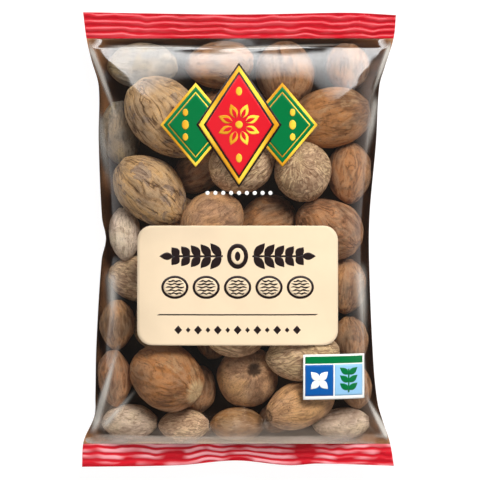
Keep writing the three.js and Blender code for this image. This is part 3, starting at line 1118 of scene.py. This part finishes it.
def nutmeg_surface(length, width, kind, scar, seed, columns, rows):
    """Points of one nutmeg along +Z, its scar end up, with what its material needs."""
    rng = np.random.default_rng(seed)
    around, lengthwise, depth, line_width, spread, lumpiness = FURROWS[kind]
    turn, rise = np.meshgrid(
        np.linspace(0, 2 * math.pi, columns, endpoint=False), np.linspace(0, math.pi, rows + 2)[1:-1])
    turn = np.concatenate([[0.0], turn.ravel(), [0.0]])
    a = np.concatenate([[-1.0], -np.cos(rise).ravel(), [1.0]])
    girth = np.sqrt(np.maximum(1 - a * a, 0))
    egg = 1.03 - rng.uniform(0.02, 0.09) * (1 - a) / 2
    oval = 1.02 - rng.uniform(0.0, 0.05) * (1 + np.cos(2 * turn + rng.uniform(0, 6))) / 2
    base = np.column_stack([
        girth * egg * oval * np.cos(turn) * width / 2,
        girth * egg * oval * np.sin(turn) * width / 2,
        a * length / 2,
    ])
    out = np.column_stack([girth * np.cos(turn) / width, girth * np.sin(turn) / width, a / length])
    out /= np.linalg.norm(out, axis=1, keepdims=True)

    shift = rng.uniform(0, 90, 3)
    taper = girth ** 0.4
    fibre = np.column_stack([
        taper * np.cos(turn) * around, taper * np.sin(turn) * around, a * lengthwise
    ]) + shift
    bend = np.column_stack([layered_noise(base / 0.0075 + shift + 7.3 * k, 5) for k in range(3)]) - 0.5
    fibre = fibre + bend * np.array([2.6, 2.6, 0.8])
    crest = layered_noise(fibre, 3)
    furrow = np.clip(1 - np.abs(2 * crest - 1) / line_width, 0, 1) ** 1.3
    where = noise(base / (length * 0.22) + shift, 8)
    furrow *= np.clip(1 - spread * (1 - np.clip((where - 0.2) * 2.5, 0, 1)), 0.1, 1)

    lumps = np.minimum(layered_noise(base / (width * 0.40) + shift, 9) - 0.6, 0.3)
    from_scar = np.arccos(np.clip(a, -1, 1))
    pit = bell(from_scar, 0.15) * scar[3] * MM
    lip = bell(from_scar - 0.28, 0.12) * 0.0002
    foot = bell(math.pi - from_scar, 0.2) * 0.0003
    spokes = np.column_stack([np.cos(turn) * 5, np.sin(turn) * 5, from_scar * 1.2])
    rays = layered_noise(spokes + shift, 15)
    ray_furrow = np.clip(1 - np.abs(2 * rays - 1) / 0.2, 0, 1) * bell(from_scar - 0.45, 0.35)
    furrow = np.maximum(furrow, 0.8 * ray_furrow)
    height = lumps * width * lumpiness - furrow * depth - pit + lip + foot
    points = base + out * height[:, None]
    ragged = 0.5 * (noise(base / 0.0022 + shift, 14) + rays) - 0.5
    edge = from_scar + 0.25 * ragged
    marks = np.column_stack([furrow, *scar_marks(scar, edge, rays)])
    return points, fibre, base / MM + shift, marks


def nutmeg_faces(columns, rows):
    faces = []
    for i in range(columns):
        j = (i + 1) % columns
        faces.append((0, 1 + j, 1 + i))
        last = 1 + (rows - 1) * columns
        faces.append((last + i, last + j, last + columns))
        for row in range(rows - 1):
            here = 1 + row * columns
            faces.append((here + i, here + j, here + columns + j, here + columns + i))
    return faces


def make_nutmegs(materials):
    """One piece for each kind, of all its nutmegs where they settled."""
    heap = settle_nutmegs()
    for kind, (tint_colour, *_) in NUTMEG_LOOKS.items():
        made, faces, start = [], [], 0
        for index, entry in enumerate(NUTMEGS):
            if entry[6] != kind or not heap.kept[index]:
                continue
            columns, rows = FINENESS[entry[7]]
            rng = np.random.default_rng(500 + index)
            small_scar = (rng.uniform(0.1, 0.2), rng.choice([0.0, 0.06]), 0.0, rng.uniform(0.2, 0.8))
            scar = SCARS.get(index, small_scar)
            points, *values = nutmeg_surface(*heap.size[index], kind, scar, 100 + index, columns, rows)
            turn = Vector((0, 0, 1)).rotation_difference(Vector(heap.axis[index])).to_matrix()
            points = points @ np.array(turn).T + heap.centre[index]
            tint = np.array(linear(*tint_colour))
            tint[:3] *= rng.uniform(0.92, 1.18) * rng.uniform(0.96, 1.04, 3)
            made.append((points, *values, np.repeat(tint[None], len(points), 0)))
            faces += [tuple(v + start for v in face) for face in nutmeg_faces(columns, rows)]
            start += len(points)
        points, fibre, place, marks, tint = (np.concatenate(part) for part in zip(*made))
        piece = make_piece("nutmegs_" + kind, points, faces, materials[kind])
        for name, vectors in (("fibre", fibre), ("place", place), ("marks", marks)):
            store(piece, name, vectors, "FLOAT_VECTOR", "vector")
        store(piece, "tint", tint, "FLOAT_COLOR", "color")


# ---- stage, lights, camera

def make_floor():
    """A pale floor: its own glow keeps it white beside the pack."""
    material, tree = new_material("floor")
    colour = blend_colours(tree, clouds(tree, place_of(tree), 3.0), (0.2, 0.2, 0.2, 1), (0.18, 0.18, 0.18, 1))
    principled(tree, {
        "Base Color": colour, "Roughness": 0.9, "Emission Color": WHITE, "Emission Strength": 0.93,
    })
    half = 6.0
    mesh = bpy.data.meshes.new("floor")
    corners = [(-half, -half, 0), (half, -half, 0), (half, half, 0), (-half, half, 0)]
    mesh.from_pydata(corners, [], [(0, 1, 2, 3)])
    floor = add_object("floor", mesh)
    floor.data.materials.append(material)
    floor.visible_glossy = False


def area_light(name, place, width, height, radiance, colour=(1, 1, 1)):
    """A soft panel that faces the pack. The film doesn't mirror it."""
    light = bpy.data.lights.new(name, "AREA")
    light.shape = "RECTANGLE"
    light.size, light.size_y = width, height
    light.energy = radiance * math.pi * width * height
    light.color = colour
    lamp = add_object(name, light)
    lamp.location = place
    lamp.rotation_euler = (-Vector(place)).to_track_quat("-Z", "Y").to_euler()
    lamp.visible_camera = False
    lamp.visible_glossy = False


def make_lights():
    area_light("key", (0.47, 0.82, 1.37), 0.63, 0.63, 29.0, (1, 0.985, 0.96))
    area_light("top_fill", (-0.4, -0.3, 0.9), 0.8, 0.8, 1.3, (1, 0.98, 0.96))


PANEL_BLUR = 0.08  # softness of a panel's sides
PANEL_RIM = 0.04  # and of its lower edge


def panel(tree, towards, beside, up, window, bottom, top, fade, radiance):
    """A soft panel on one side, seen only in reflections. Its window is how far it reaches to
    the two sides, as beside / towards, and it fades upwards from full at top - fade."""
    slope = sums(tree, "DIVIDE", beside, sums(tree, "MAXIMUM", towards, 0.001))
    edges = (
        ramp(tree, slope, window[0] - PANEL_BLUR, window[0] + PANEL_BLUR),
        ramp(tree, slope, window[1] + PANEL_BLUR, window[1] - PANEL_BLUR),
        ramp(tree, up, bottom - PANEL_RIM, bottom + PANEL_RIM),
        remap(tree, up, top, top - fade),
    )
    return product(tree, *edges, radiance)


def make_world():
    """White to the camera, dim as light, and panels in a near black room to the film."""
    world = bpy.data.worlds.new("world")
    world.use_nodes = True
    tree = world.node_tree
    tree.nodes.clear()
    direction = node(tree, "TexCoord").outputs["Generated"]
    right, far, up = node(tree, "SeparateXYZ", {0: direction}).outputs
    left, near = sums(tree, "MULTIPLY", right, -1.0), sums(tree, "MULTIPLY", far, -1.0)
    panels = [
        panel(tree, far, right, up, (-1.7, 2.5), 0.06, 0.70, 0.52, 3.4),
        panel(tree, near, right, up, (-2.0, 2.0), -1.2, -0.2, 0.2, 0.7),
        panel(tree, near, right, up, (-2.0, 2.0), -0.3, 0.24, 0.24, 0.6),
        panel(tree, left, far, up, (-0.6, 0.15), -0.22, 0.36, 0.5, 0.45),
        panel(tree, right, far, up, (-0.6, 0.4), -0.35, 0.36, 0.7, 0.5),
    ]
    mirrored = 0.01
    for radiance in panels:
        mirrored = sums(tree, "ADD", radiance, mirrored)

    path = node(tree, "LightPath").outputs
    tone = blend_colours(tree, ramp(tree, near, 0.0, 0.3), WHITE, (1, 0.80, 0.64, 1))
    seen = node(tree, "Background", {"Color": WHITE, "Strength": 1.0})
    shown = node(tree, "Background", {"Color": tone, "Strength": mirrored})
    fill = node(tree, "Background", {"Color": WHITE, "Strength": 0.13})
    light = mix_shaders(tree, path["Is Glossy Ray"], fill, shown)
    mixed = mix_shaders(tree, path["Is Camera Ray"], light, seen)
    node(tree, "OutputWorld", {"Surface": mixed.outputs[0]})
    bpy.context.scene.world = world


CAMERA_HEIGHT = 0.8
CAMERA_ASIDE = (0.0003, -0.00015)
FRAME_WIDTH = 0.144
SENSOR = 36.0


def make_camera():
    data = bpy.data.cameras.new("camera")
    data.sensor_width = SENSOR
    data.lens = SENSOR * (CAMERA_HEIGHT - SEAL_HEIGHT) / FRAME_WIDTH
    data.clip_start, data.clip_end = 0.05, 20
    camera = add_object("camera", data)
    camera.location = (*CAMERA_ASIDE, CAMERA_HEIGHT)
    bpy.context.scene.camera = camera


# ---- the whole

make_camera()
clear_film = clear_film_material()
# The back's dark brown is partly its own tone and partly painted shade for the gaps between nutmegs; its
# paler brown is painted light on its margins.
dark_film = printed_film_material("dark_film", linear(62, 43, 31), linear(156, 110, 74), 0.5)
# The pale pink of the red film is a painted highlight on the seals' ridges.
red_film = printed_film_material("red_film", linear(203, 27, 42), linear(250, 176, 184), 0.2)
INKS = {name: print_material(name, linear(*colour)) for name, colour in {
    "cream_print": (233, 211, 180),
    "dark_print": (38, 28, 28),
    "red_print": (214, 26, 40),
    "green_print": (0, 112, 58),
    "blue_print": (16, 88, 164),
    "sky_print": (146, 196, 234),
    "white_print": (246, 247, 244),
}.items()}
INKS["gold_print"] = gold_material()

film_front = make_front_film(clear_film)
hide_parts("bag")
make_back_film(dark_film)
make_back_seam(dark_film)
for seal_name in SEALS:
    make_seal(seal_name, red_film).visible_glossy = False  # keeps a red cast off the film beside it
make_label()
make_emblem()
make_badge()

make_nutmegs({
    kind: nutmeg_material("nutmeg_" + kind, *looks[1:]) for kind, looks in NUTMEG_LOOKS.items()
})

make_floor()
make_lights()
make_world()
bpy.context.scene.view_settings.view_transform = "Standard"
